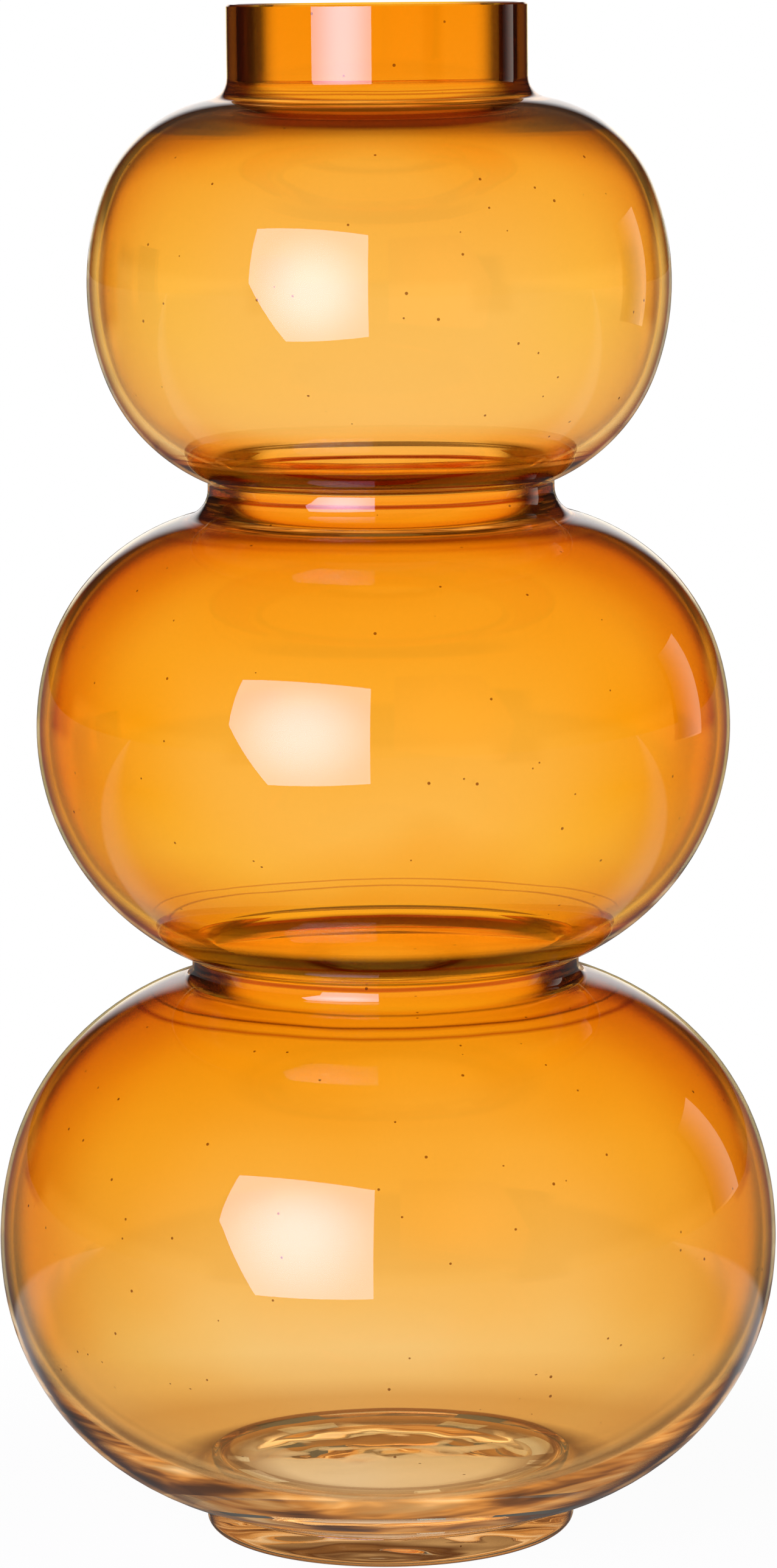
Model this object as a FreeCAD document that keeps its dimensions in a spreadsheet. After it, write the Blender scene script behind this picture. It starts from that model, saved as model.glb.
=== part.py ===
import FreeCAD
import Part
import Sketcher
import math
import os

# Gourd vase of blown glass, in millimetres.
# Three round bulbs stand on each other, joined by two narrow waists, under a short straight collar.
# The origin is at the centre of the underside and +Z is the vase's axis.
# Every arc of the outline is tangent to the next one inside a bulb, as a glassblower's bubble is.

# Driving dimensions: name, value, what it is
SIZES = [
    ("VaseHeight", 400.0, "underside to rim"),
    ("CollarRadius", 38.8, "outside of the collar"),
    ("CollarHeight", 23.6, "rim down to the top bulb's shoulder"),
    ("CollarFootFillet", 5.5, "hollow round the foot of the collar"),
    ("RimChamfer", 0.5, "bevel on both edges of the ground rim"),
    ("WallThickness", 2.5, "blown wall"),
    ("TopRadius", 75.5, "top bulb at its widest"),
    ("UpperWaistRadius", 45.0, "outside of the upper waist"),
    ("UpperWaistFillet", 7.5, "hollow between the upper waist and the shoulder below it"),
    ("MiddleRadius", 90.4, "middle bulb at its widest"),
    ("LowerWaistRadius", 50.7, "outside of the lower waist"),
    ("LowerWaistFillet", 3.5, "hollow between the lower waist and the shoulder below it"),
    ("CreaseFillet", 0.8, "tight hollow in the crease above each waist"),
    ("WaistWall", 4.5, "wall at the waists, where the blown glass gathers"),
    ("UpperInnerFillet", 6.8, "rounding of the two inner edges of the upper waist"),
    ("LowerInnerFillet", 5.8, "rounding of the two inner edges of the lower waist"),
    ("InnerCollarFillet", 3.0, "rounding of the inner edge under the collar"),
    ("LowerRadius", 102.3, "lower bulb at its widest"),
    ("SeatRadius", 48.8, "flat disc under the body, where the foot is set on"),
    ("FootThickness", 8.6, "underside to the body's flat seat"),
    ("FloorThickness", 6.4, "glass between the seat and the inside floor"),
    ("FootRadius", 49.4, "foot disc at its top edge"),
    ("FootDraft", 0.7, "how much narrower the foot is at its underside"),
    ("FootTopFillet", 0.6, "rounded top edge of the foot"),
    ("FootEdgeFillet", 3.0, "rounded lower edge of the foot"),
    ("RestWidth", 6.7, "flat ring under the foot that touches the table"),
    ("HollowDepth", 2.6, "depth at the axis of the polished hollow inside that ring"),
    ("CutOverrun", 5.0, "how far the cavity's cut runs past the rim"),
]

# Shares of other sizes
SHARES = [
    ("CreaseLiftShare", 0.8, "inner crease stands above the outer one by this share of the wall"),
    ("ShoulderDropShare", 0.9, "inner shoulder starts below the outer one by this share of the wall"),
    ("LowerLevelShare", 0.18815, "lower bulb's widest ring, as a share of the stack of bulbs"),
    ("LowerShoulderShare", 0.37847, "top of the lower bulb's shoulder"),
    ("MiddleCreaseShare", 0.39342, "crease under the middle bulb"),
    ("MiddleLevelShare", 0.55682, "middle bulb's widest ring"),
    ("MiddleShoulderShare", 0.70962, "top of the middle bulb's shoulder"),
    ("TopCreaseShare", 0.73110, "crease under the top bulb"),
    ("TopLevelShare", 0.86949, "top bulb's widest ring"),
    ("TopBellyShare", 0.68554, "radius of its belly arc, as a share of the top bulb's height"),
    ("TopRiseShare", 0.67847, "reach of that arc above the widest ring, as a share of the bulge"),
    ("TopDropShare", 0.75738, "reach of that arc below the widest ring, as a share of the bulge"),
    ("MiddleBellyShare", 0.5632, "radius of its belly arc, as a share of the middle bulb's height"),
    ("MiddleRiseShare", 0.40308, "reach of that arc above the widest ring, as a share of the bulge"),
    ("MiddleDropShare", 0.81612, "reach of that arc below the widest ring, as a share of the bulge"),
    ("LowerBellyShare", 0.60991, "radius of its belly arc, as a share of the lower bulb's height"),
    ("LowerRiseShare", 0.45349, "reach of that arc above the widest ring, as a share of the bulge"),
    ("LowerDropShare", 0.21121, "reach of that arc below the widest ring, as a share of the bulge"),
    ("FilletRoomShare", 0.95, "most of a waist's wall that its fillets may take"),
]

# Levels and arcs that follow from the sizes: name, formula, what it is
LEVELS = [
    ("CollarFootHeight", "VaseHeight - CollarHeight", "where the collar meets the top bulb"),
    ("HollowRadius", "FootRadius - FootDraft - FootEdgeFillet - RestWidth", "hollow under the foot"),
    ("StackHeight", "CollarFootHeight - FootThickness", "the three bulbs, foot to collar"),
    ("LowerHeight", "FootThickness + StackHeight * LowerLevelShare", "lower bulb's widest ring"),
    ("LowerWaistFoot", "FootThickness + StackHeight * LowerShoulderShare", "lower waist's lower end"),
    ("LowerWaistTop", "FootThickness + StackHeight * MiddleCreaseShare", "crease over the lower waist"),
    ("MiddleHeight", "FootThickness + StackHeight * MiddleLevelShare", "middle bulb's widest ring"),
    ("UpperWaistFoot", "FootThickness + StackHeight * MiddleShoulderShare", "upper waist's lower end"),
    ("UpperWaistTop", "FootThickness + StackHeight * TopCreaseShare", "crease over the upper waist"),
    ("TopHeight", "FootThickness + StackHeight * TopLevelShare", "top bulb's widest ring"),
    ("TopSpan", "CollarFootHeight - UpperWaistTop", "top bulb, from waist to waist"),
    ("TopBelly", "TopSpan * TopBellyShare", "radius of its belly arc"),
    ("TopRise", "(TopRadius - CollarRadius) * TopRiseShare", "its reach above the widest ring"),
    ("TopDrop", "(TopRadius - UpperWaistRadius) * TopDropShare", "its reach below the widest ring"),
    ("MiddleSpan", "UpperWaistFoot - LowerWaistTop", "middle bulb, from waist to waist"),
    ("MiddleBelly", "MiddleSpan * MiddleBellyShare", "radius of its belly arc"),
    ("MiddleRise", "(MiddleRadius - UpperWaistRadius) * MiddleRiseShare", "its reach above the widest ring"),
    ("MiddleDrop", "(MiddleRadius - LowerWaistRadius) * MiddleDropShare", "its reach below the widest ring"),
    ("LowerSpan", "LowerWaistFoot - FootThickness", "lower bulb, from waist to waist"),
    ("LowerBelly", "LowerSpan * LowerBellyShare", "radius of its belly arc"),
    ("LowerRise", "(LowerRadius - LowerWaistRadius) * LowerRiseShare", "its reach above the widest ring"),
    ("LowerDrop", "(LowerRadius - SeatRadius) * LowerDropShare", "its reach below the widest ring"),
]

SHEET = "Sizes"
AXIS_TOLERANCE = 1e-4
FULL_TURN = 360.0


class Length:
    """A number together with the sheet expression that gives it."""

    def __init__(self, value, text):
        self.value = value
        self.text = text

    def __add__(self, other):
        return Length(self.value + other.value, f"({self.text} + {other.text})")

    def __sub__(self, other):
        return Length(self.value - other.value, f"({self.text} - {other.text})")

    def __mul__(self, other):
        return Length(self.value * other.value, f"({self.text} * {other.text})")

    def __truediv__(self, other):
        return Length(self.value / other.value, f"({self.text} / {other.text})")

    def root(self):
        return Length(math.sqrt(self.value), f"sqrt({self.text})")


def fill_sheet(doc):
    """Writes every size and level into the sheet and returns them by name."""
    sheet = doc.addObject("Spreadsheet::Sheet", SHEET)
    rows = [(name, str(value), meaning) for name, value, meaning in SIZES + SHARES]
    rows += [(name, f"={formula}", meaning) for name, formula, meaning in LEVELS]
    for row, (name, content, meaning) in enumerate(rows, start=1):
        sheet.set(f"A{row}", meaning)
        sheet.set(f"B{row}", content)
        sheet.setAlias(f"B{row}", name)
    doc.recompute()
    return {name: Length(float(sheet.get(name)), f"{SHEET}.{name}") for name, _, _ in rows}


def new_body(doc, label):
    body = doc.addObject("PartDesign::Body", label)
    body.Label = label
    body.Placement = FreeCAD.Placement()
    return body


def origin_plane(body, role):
    return next(item for item in body.Origin.OriginFeatures if item.Role == role)


def front_sketch(body, name):
    """A sketch on the plane through the axis: its X is the radius and its Y the height."""
    sketch = body.newObject("Sketcher::SketchObject", name)
    sketch.AttachmentSupport = [(origin_plane(body, "XZ_Plane"), "")]
    sketch.MapMode = "FlatFace"
    return sketch


# Points of a sketch element, as the sketcher numbers them
START, END, CENTRE = 1, 2, 3
ORIGIN = (-1, START)


def add_line(sketch, start, end):
    first = FreeCAD.Vector(start[0], start[1], 0)
    second = FreeCAD.Vector(end[0], end[1], 0)
    return sketch.addGeometry(Part.LineSegment(first, second), False)


def add_arc(sketch, centre, radius, low_angle, high_angle):
    circle = Part.Circle(FreeCAD.Vector(centre[0], centre[1], 0), FreeCAD.Vector(0, 0, 1), radius)
    return sketch.addGeometry(Part.ArcOfCircle(circle, low_angle, high_angle), False)


def bind(sketch, kind, references, length):
    """Adds a dimension and ties it to the sheet."""
    index = sketch.addConstraint(Sketcher.Constraint(kind, *references, length.value))
    sketch.setExpression(f"Constraints[{index}]", length.text)


def place(sketch, point, radius, height):
    """Fixes a point by its distance from the axis and its height."""
    bind(sketch, "DistanceX", (*ORIGIN, *point), radius)
    bind(sketch, "DistanceY", (*ORIGIN, *point), height)


def on_axis(sketch, point):
    sketch.addConstraint(Sketcher.Constraint("PointOnObject", *point, -2))


def join(sketch, first, second):
    sketch.addConstraint(Sketcher.Constraint("Coincident", *first, *second))


def tangent(sketch, first, second):
    sketch.addConstraint(Sketcher.Constraint("Tangent", *first, *second))


def along(sketch, kind, line):
    sketch.addConstraint(Sketcher.Constraint(kind, line))


def arc_through(start, normal, point):
    """Centre and radius of the arc that leaves start square to normal and passes through point."""
    run = start[0] - point[0]
    rise = start[1] - point[1]
    radius = (run * run + rise * rise) / (2 * (run * normal[0] + rise * normal[1]))
    centre = (start[0] - radius * normal[0], start[1] - radius * normal[1])
    return centre, radius


def angle_of(centre, point):
    return math.atan2(point[1] - centre[1], point[0] - centre[0])


def add_bulb(sketch, size, name, wall, low_point, high_point):
    """Draws one bulb from its low end to its high end: underside, belly and shoulder arcs.

    wall is None for the outside, and the wall's thickness for the cavity, whose belly arc shares
    its centre with the outside's.
    """
    belly = size[f"{name}Belly"]
    rise = size[f"{name}Rise"]
    drop = size[f"{name}Drop"]
    centre_radius = size[f"{name}Radius"] - belly
    centre_height = size[f"{name}Height"]
    if wall is not None:
        inner = belly - wall
        rise = rise * inner / belly
        drop = drop * inner / belly
        belly = inner
    centre = (centre_radius.value, centre_height.value)
    low_angle = -math.asin(drop.value / belly.value)
    high_angle = math.asin(rise.value / belly.value)
    ends = []
    for angle, point in ((low_angle, low_point), (high_angle, high_point)):
        normal = (math.cos(angle), math.sin(angle))
        start = (centre[0] + belly.value * normal[0], centre[1] + belly.value * normal[1])
        ends.append(arc_through(start, normal, point))
    (low_centre, low_radius), (high_centre, high_radius) = ends
    underside = add_arc(sketch, low_centre, low_radius, angle_of(low_centre, low_point), low_angle)
    middle = add_arc(sketch, centre, belly.value, low_angle, high_angle)
    shoulder = add_arc(sketch, high_centre, high_radius, high_angle, angle_of(high_centre, high_point))
    tangent(sketch, (underside, END), (middle, START))
    tangent(sketch, (middle, END), (shoulder, START))
    bind(sketch, "Radius", (middle,), belly)
    place(sketch, (middle, CENTRE), centre_radius, centre_height)
    bind(sketch, "DistanceY", (middle, START, middle, CENTRE), drop)
    bind(sketch, "DistanceY", (middle, CENTRE, middle, END), rise)
    return underside, shoulder


def add_waist(sketch, radius, foot, top):
    """Draws the straight wall of a waist, from its foot up to its top."""
    line = add_line(sketch, (radius.value, foot.value), (radius.value, top.value))
    place(sketch, (line, START), radius, foot)
    along(sketch, "Vertical", line)
    bind(sketch, "DistanceY", (*ORIGIN, line, END), top)
    return line


def add_profile(sketch, size, wall, base_height, top_height):
    """Draws the closed half section of the vase's outside, or of its cavity when wall is given.

    The outside ends in a flat seat with a corner. The cavity's floor runs smoothly into the bulb,
    so the width of its flat part follows from the arcs.
    """
    collar = size["CollarRadius"]
    waists = []
    for name in ("LowerWaist", "UpperWaist"):
        radius, foot, top = (size[name + part] for part in ("Radius", "Foot", "Top"))
        if wall is not None:
            radius = radius - size["WaistWall"]
            foot = foot - wall * size["ShoulderDropShare"]
            top = top + wall * size["CreaseLiftShare"]
        waists.append((radius, foot, top))
    collar_foot = size["CollarFootHeight"]
    if wall is not None:
        collar = collar - wall
        collar_foot = collar_foot - wall * size["ShoulderDropShare"]
    (low_radius, low_foot, low_top), (high_radius, high_foot, high_top) = waists

    base_radius = size["SeatRadius"]
    base = add_line(sketch, (0, base_height.value), (base_radius.value, base_height.value))
    on_axis(sketch, (base, START))
    bind(sketch, "DistanceY", (*ORIGIN, base, START), base_height)
    along(sketch, "Horizontal", base)
    if wall is None:
        bind(sketch, "DistanceX", (*ORIGIN, base, END), base_radius)
    below = base
    low_waist = add_waist(sketch, low_radius, low_foot, low_top)
    high_waist = add_waist(sketch, high_radius, high_foot, high_top)
    collar_wall = add_waist(sketch, collar, collar_foot, top_height)
    ends = [
        ("Lower", (base_radius, base_height), (low_radius, low_foot), low_waist),
        ("Middle", (low_radius, low_top), (high_radius, high_foot), high_waist),
        ("Top", (high_radius, high_top), (collar, collar_foot), collar_wall),
    ]
    for name, low, high, wall_above in ends:
        low_point = (low[0].value, low[1].value)
        high_point = (high[0].value, high[1].value)
        underside, shoulder = add_bulb(sketch, size, name, wall, low_point, high_point)
        if name == "Lower" and wall is not None:
            tangent(sketch, (below, END), (underside, START))
        else:
            join(sketch, (below, END), (underside, START))
        join(sketch, (shoulder, END), (wall_above, START))
        below = wall_above
    lid = add_line(sketch, (collar.value, top_height.value), (0, top_height.value))
    join(sketch, (collar_wall, END), (lid, START))
    along(sketch, "Horizontal", lid)
    on_axis(sketch, (lid, END))
    axis = add_line(sketch, (0, top_height.value), (0, base_height.value))
    join(sketch, (lid, END), (axis, START))
    join(sketch, (axis, END), (base, START))


def revolve(body, kind, name, sketch):
    feature = body.newObject(kind, name)
    feature.Profile = sketch
    feature.ReferenceAxis = (sketch, ["V_Axis"])
    feature.Angle = FULL_TURN
    sketch.Visibility = False
    return feature


def ring_edges(shape, rings):
    """Names of the round edges that have one of the given radii and heights."""
    names = []
    for number, edge in enumerate(shape.Edges, start=1):
        if edge.Degenerated or not isinstance(edge.Curve, Part.Circle):
            continue
        for radius, height in rings:
            same_radius = abs(edge.Curve.Radius - radius.value) < AXIS_TOLERANCE
            same_height = abs(edge.Curve.Center.z - height.value) < AXIS_TOLERANCE
            if same_radius and same_height:
                names.append(f"Edge{number}")
    if len(names) != len(rings):
        raise RuntimeError(f"found {len(names)} of {len(rings)} round edges")
    return names


def soften(doc, body, kind, name, base, rings, size_name, room=None):
    """Fillets or chamfers round edges; room is the most that the fillet may take."""
    feature = body.newObject(kind, name)
    feature.Base = (base, ring_edges(base.Shape, rings))
    size_property = "Radius" if kind == "PartDesign::Fillet" else "Size"
    text = f"{SHEET}.{size_name}"
    if room is not None:
        text = f"min({text}; {room.text})"
    feature.setExpression(size_property, text)
    doc.recompute()
    if not feature.isValid() or feature.Shape.isNull():
        raise RuntimeError(f"{name} failed: {feature.getStatusString()}")
    return feature


def taken_by_fillet(size, name, wall, end, radius, height):
    """Length of straight wall that a fillet of radius 1 takes where a bulb's arc meets the wall.

    end is Rise for the shoulder and Drop for the underside. A fillet takes more of the wall the
    more the arc has turned past its highest or lowest point.
    """
    belly = size[f"{name}Belly"]
    reach = size[f"{name}{end}"]
    centre = size[f"{name}Radius"] - belly
    if wall is not None:
        inner = belly - wall
        reach = reach * inner / belly
        belly = inner
    one = belly / belly
    two = one + one
    across = (belly * belly - reach * reach).root()
    run = centre + across - radius
    level = size[f"{name}Height"]
    climb = (height - level if end == "Rise" else level - height) - reach
    bend = (run * run + climb * climb) * belly / (two * (run * across - climb * reach))
    past = (run - bend * across / belly) / bend
    return (one + past) / (one - past * past).root()


def shoulder_room(size, name, waist):
    """The largest fillet between a bulb's shoulder and the waist over it."""
    radius, foot, top = (size[waist + part] for part in ("Radius", "Foot", "Top"))
    taken = taken_by_fillet(size, name, None, "Rise", radius, foot)
    return (top - foot) * size["FilletRoomShare"] / taken


def inner_room(size, below, above, waist, wall):
    """The largest rounding of both inner edges of a waist, and those two edges."""
    radius = size[f"{waist}Radius"] - size["WaistWall"]
    foot = size[f"{waist}Foot"] - wall * size["ShoulderDropShare"]
    top = size[f"{waist}Top"] + wall * size["CreaseLiftShare"]
    taken = taken_by_fillet(size, below, wall, "Rise", radius, foot)
    taken = taken + taken_by_fillet(size, above, wall, "Drop", radius, top)
    return (top - foot) * size["FilletRoomShare"] / taken, [(radius, foot), (radius, top)]


def make_blown_body(doc, size):
    """The blown bubble: solid of the outside, then the cavity, with its edges softened."""
    body = new_body(doc, "blown_body")
    height = size["VaseHeight"]
    seat = size["FootThickness"]
    wall = size["WallThickness"]
    floor = seat + size["FloorThickness"]

    outside = front_sketch(body, "OutsideProfile")
    add_profile(outside, size, None, seat, height)
    solid = revolve(body, "PartDesign::Revolution", "Outside", outside)
    doc.recompute()

    fillet = "PartDesign::Fillet"
    upper_room = shoulder_room(size, "Middle", "UpperWaist")
    lower_room = shoulder_room(size, "Lower", "LowerWaist")
    collar_ring = [(size["CollarRadius"], size["CollarFootHeight"])]
    solid = soften(doc, body, fillet, "CollarFoot", solid, collar_ring, "CollarFootFillet")
    upper_ring = [(size["UpperWaistRadius"], size["UpperWaistFoot"])]
    solid = soften(doc, body, fillet, "UpperShoulder", solid, upper_ring, "UpperWaistFillet", upper_room)
    lower_ring = [(size["LowerWaistRadius"], size["LowerWaistFoot"])]
    solid = soften(doc, body, fillet, "LowerShoulder", solid, lower_ring, "LowerWaistFillet", lower_room)
    creases = [
        (size["UpperWaistRadius"], size["UpperWaistTop"]),
        (size["LowerWaistRadius"], size["LowerWaistTop"]),
    ]
    soften(doc, body, fillet, "Creases", solid, creases, "CreaseFillet")

    inside = front_sketch(body, "CavityProfile")
    cut_top = height + size["CutOverrun"]
    add_profile(inside, size, wall, floor, cut_top)
    cavity = revolve(body, "PartDesign::Groove", "Cavity", inside)
    doc.recompute()

    room, rings = inner_room(size, "Middle", "Top", "UpperWaist", wall)
    solid = soften(doc, body, fillet, "InnerUpperWaist", cavity, rings, "UpperInnerFillet", room)
    room, rings = inner_room(size, "Lower", "Middle", "LowerWaist", wall)
    solid = soften(doc, body, fillet, "InnerLowerWaist", solid, rings, "LowerInnerFillet", room)
    sink = wall * size["ShoulderDropShare"]
    inner_collar = [(size["CollarRadius"] - wall, size["CollarFootHeight"] - sink)]
    solid = soften(doc, body, fillet, "InnerCollarFoot", solid, inner_collar, "InnerCollarFillet")
    rim = [(size["CollarRadius"], height), (size["CollarRadius"] - wall, height)]
    soften(doc, body, "PartDesign::Chamfer", "GroundRim", solid, rim, "RimChamfer")
    return body


def make_foot(doc, size):
    """The thick foot: a disc with rounded edges and a shallow polished hollow underneath."""
    body = new_body(doc, "foot")
    top = size["FootThickness"]
    wide = size["FootRadius"]
    narrow = wide - size["FootDraft"]
    hollow = size["HollowRadius"]
    depth = size["HollowDepth"]
    sketch = front_sketch(body, "FootProfile")

    cap_radius = (hollow.value ** 2 + depth.value ** 2) / (2 * depth.value)
    cap_centre = (0, depth.value - cap_radius)
    ceiling = add_arc(sketch, cap_centre, cap_radius, angle_of(cap_centre, (hollow.value, 0)), math.pi / 2)
    rest = add_line(sketch, (hollow.value, 0), (narrow.value, 0))
    side = add_line(sketch, (narrow.value, 0), (wide.value, top.value))
    cover = add_line(sketch, (wide.value, top.value), (0, top.value))
    axis = add_line(sketch, (0, top.value), (0, depth.value))
    on_axis(sketch, (ceiling, CENTRE))
    on_axis(sketch, (ceiling, END))
    bind(sketch, "DistanceY", (*ORIGIN, ceiling, END), depth)
    bind(sketch, "DistanceX", (*ORIGIN, ceiling, START), hollow)
    sketch.addConstraint(Sketcher.Constraint("PointOnObject", ceiling, START, -1))
    join(sketch, (ceiling, START), (rest, START))
    along(sketch, "Horizontal", rest)
    bind(sketch, "DistanceX", (*ORIGIN, rest, END), narrow)
    join(sketch, (rest, END), (side, START))
    join(sketch, (side, END), (cover, START))
    place(sketch, (cover, START), wide, top)
    along(sketch, "Horizontal", cover)
    on_axis(sketch, (cover, END))
    join(sketch, (cover, END), (axis, START))
    join(sketch, (axis, END), (ceiling, END))
    disc = revolve(body, "PartDesign::Revolution", "Disc", sketch)
    doc.recompute()

    ground = Length(0.0, "0")
    fillet = "PartDesign::Fillet"
    disc = soften(doc, body, fillet, "LowerEdge", disc, [(narrow, ground)], "FootEdgeFillet")
    soften(doc, body, fillet, "TopEdge", disc, [(wide, top)], "FootTopFillet")
    return body


def check(doc, bodies):
    """Stops if a feature failed or a sub-part isn't one sound solid."""
    for item in doc.Objects:
        if "Invalid" in item.State or "Error" in item.State:
            raise RuntimeError(f"{item.Label} failed: {item.State}")
        if item.TypeId == "Sketcher::SketchObject" and item.solve() != 0:
            raise RuntimeError(f"{item.Label} could not be solved")
    for body in bodies:
        shape = body.Shape
        if shape.isNull() or not shape.isValid() or len(shape.Solids) != 1:
            raise RuntimeError(f"{body.Label} is not one valid solid")


def main():
    doc = FreeCAD.newDocument("GourdVase")
    size = fill_sheet(doc)
    bodies = [make_blown_body(doc, size), make_foot(doc, size)]
    doc.recompute()
    check(doc, bodies)
    os.makedirs("parts", exist_ok=True)
    for body in bodies:
        body.Shape.exportStep(os.path.join("parts", f"{body.Label}.step"))
        box = body.Shape.BoundBox
        print(f"{body.Label}: {body.Shape.Volume:.0f} mm3, z {box.ZMin:.2f} to {box.ZMax:.2f},"
              f" width {box.XLength:.2f}")


main()
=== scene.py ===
import math

import bpy
from mathutils import Matrix, Vector


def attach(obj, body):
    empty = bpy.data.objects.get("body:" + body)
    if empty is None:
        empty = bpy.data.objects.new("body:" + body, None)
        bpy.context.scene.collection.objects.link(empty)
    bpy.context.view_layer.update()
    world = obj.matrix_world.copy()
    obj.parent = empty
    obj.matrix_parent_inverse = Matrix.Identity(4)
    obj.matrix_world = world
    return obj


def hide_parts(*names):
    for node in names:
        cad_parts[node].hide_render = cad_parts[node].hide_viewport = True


# The looks of a gourd vase: three bulbs of amber glass, blown in one run, on a thick foot.
# Sizes are in millimetres and angles in degrees, in the frame of the CAD part.
# Only the studio's sizes are in metres.

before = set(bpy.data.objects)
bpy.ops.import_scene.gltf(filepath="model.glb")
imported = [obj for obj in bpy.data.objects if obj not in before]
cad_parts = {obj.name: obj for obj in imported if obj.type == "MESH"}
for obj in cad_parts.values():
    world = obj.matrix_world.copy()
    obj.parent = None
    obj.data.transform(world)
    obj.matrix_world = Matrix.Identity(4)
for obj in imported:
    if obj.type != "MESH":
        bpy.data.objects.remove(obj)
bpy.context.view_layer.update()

MM = 0.001
TINY = 0.0001
AXIS = Vector((0, 0, 1))
WHITE = (1.0, 1.0, 1.0, 1)
BLACK = (0.0, 0.0, 0.0, 1)

# The photograph's frame, and the camera that was fitted to the outline
PHOTO_HEIGHT = 2576
FOCAL_PIXELS = 9323.5
SENSOR = 36.0
CAMERA_DISTANCE = 1468.5
CAMERA_HEIGHT = 409.6
CAMERA_PITCH = 8.21
CAMERA_ROLL = 0.533
CAMERA_YAW = -0.047
CLIP_START, CLIP_END = 0.05, 100.0

# The outside of the glass, as in the CAD part
HEIGHT = 400.0
COLLAR = {"radius": 38.8, "foot": 376.4, "fillet": 5.5, "inner_fillet": 3.0, "bevel": 0.5}
UPPER_WAIST = {"radius": 45.0, "foot": 269.6, "top": 277.5, "fillet": 7.5}
LOWER_WAIST = {"radius": 50.7, "foot": 147.8, "top": 153.3, "fillet": 3.5}
TOP_BULB = {"radius": 75.5, "height": 328.4, "belly": 67.8, "rise": 24.9, "drop": 23.1}
MIDDLE_BULB = {"radius": 90.4, "height": 213.4, "belly": 65.5, "rise": 18.3, "drop": 32.4}
LOWER_BULB = {"radius": 102.3, "height": 77.8, "belly": 84.9, "rise": 23.4, "drop": 11.3}
CREASE_FILLET = 0.8
SEAT_RADIUS = 48.8
FOOT = {"radius": 49.4, "height": 8.6, "draft": 0.7, "top_fillet": 0.6, "edge_fillet": 3.0}
HOLLOW = {"radius": 39.0, "depth": 2.6}

# The inside of the glass
WALL = 2.5
WAIST_WALL = 4.5
UPPER_INNER_FILLET = 6.8
LOWER_INNER_FILLET = 5.8
FLOOR_HEIGHT = 15.0
CREASE_LIFT_SHARE = 0.8
SHOULDER_DROP_SHARE = 0.9

# How strongly the glass bends light
GLASS_IOR = 1.5

# How finely the glass is turned
TURN_STEPS = 176
LONG_ARC_STEPS = 21
SHORT_ARC_STEPS = 9
FLOOR_STEPS = 20
MERGE_DISTANCE = 1e-6
SMOOTH_ANGLE = 40.0

# Ripples in the floor and in the hollow under the foot, and how they fade towards its edge
RIPPLE_DEPTH = 1.1
RIPPLE_SIZE = 16.0
RIPPLE_LAYERS = 1
FLOOR_REACH = 2.0
FLOOR_FADE_POWER = 6
HOLLOW_RIPPLE_SHARE = 0.4
HOLLOW_FADE_POWER = 4

# Colour of the glass, by height as a share of the vase's height
TINT_STOPS = [
    (0.000, (0.98, 0.92, 0.84)),
    (0.030, (0.97, 0.90, 0.80)),
    (0.070, (0.96, 0.82, 0.64)),
    (0.110, (0.97, 0.74, 0.42)),
    (0.160, (0.97, 0.70, 0.32)),
    (0.220, (0.98, 0.67, 0.25)),
    (0.290, (0.98, 0.60, 0.13)),
    (0.360, (0.96, 0.53, 0.05)),
    (0.390, (0.96, 0.55, 0.06)),
    (0.430, (1.00, 0.70, 0.28)),
    (0.500, (1.00, 0.68, 0.22)),
    (0.600, (0.98, 0.60, 0.11)),
    (0.675, (0.96, 0.52, 0.05)),
    (0.715, (1.00, 0.72, 0.34)),
    (0.800, (0.99, 0.71, 0.29)),
    (0.900, (0.97, 0.64, 0.20)),
    (0.940, (0.96, 0.52, 0.06)),
    (1.000, (0.95, 0.50, 0.03)),
]

# Soft clouds in the glass, and how far they shift its colour up or down
CLOUD_SCALE = 14.0
CLOUD_DRIFT = 0.10
SOFT_DETAIL = 2.0
SOFT_ROUGHNESS = 0.5

# Bands of painted shade round the collar's foot and the waists: the heights between which
# they lie, how far they sag forwards, and their shades by height. The bands at the front fade
# into the ones at the back. A shade darkens green and blue more than red.
BAND_WOBBLE = 0.5
BAND_WOBBLE_SCALE = 26.0
FRONT_END, BACK_START = -35.0, 15.0
BAND_GREEN_POWER, BAND_BLUE_POWER = 2.6, 3.4
FRONT_SHADE_BANDS = [
    (360.0, 390.0, 0.1, [(375.0, 1.0), (375.8, 0.3), (377.8, 0.3), (378.4, 1.0)]),
    (360.0, 390.0, 0.0, [(377.2, 1.0), (377.6, 0.4), (378.0, 1.0)]),
    (258.0, 290.0, 0.0, [
        (264.2, 1.0), (265.0, 0.85), (265.6, 1.0),
        (266.2, 1.0), (266.8, 0.85), (268.8, 0.85), (269.6, 1.0),
        (273.8, 1.0), (274.1, 0.3), (274.5, 0.3), (274.8, 1.0),
        (278.9, 1.0), (279.3, 0.06), (283.6, 0.06), (284.2, 1.0),
        (284.9, 1.0), (285.2, 0.3), (285.6, 1.0),
    ]),
    (136.0, 170.0, 0.0, [
        (141.6, 1.0), (142.2, 0.4), (142.8, 1.0),
        (144.0, 1.0), (144.2, 0.1), (144.5, 1.0),
        (151.4, 1.0), (151.8, 0.45), (152.1, 0.45), (152.5, 1.0),
        (156.0, 1.0), (156.8, 0.03), (162.0, 0.03), (164.5, 1.0),
    ]),
]
BACK_SHADE_BANDS = [
    (258.0, 290.0, 0.0, [(273.6, 1.0), (273.9, 0.2), (274.7, 0.2), (275.0, 1.0)]),
    (136.0, 170.0, 0.0, [
        (148.6, 1.0), (149.2, 0.08), (151.8, 0.08), (152.6, 1.0),
        (160.2, 1.0), (160.4, 0.4), (160.7, 1.0),
    ]),
]

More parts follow.
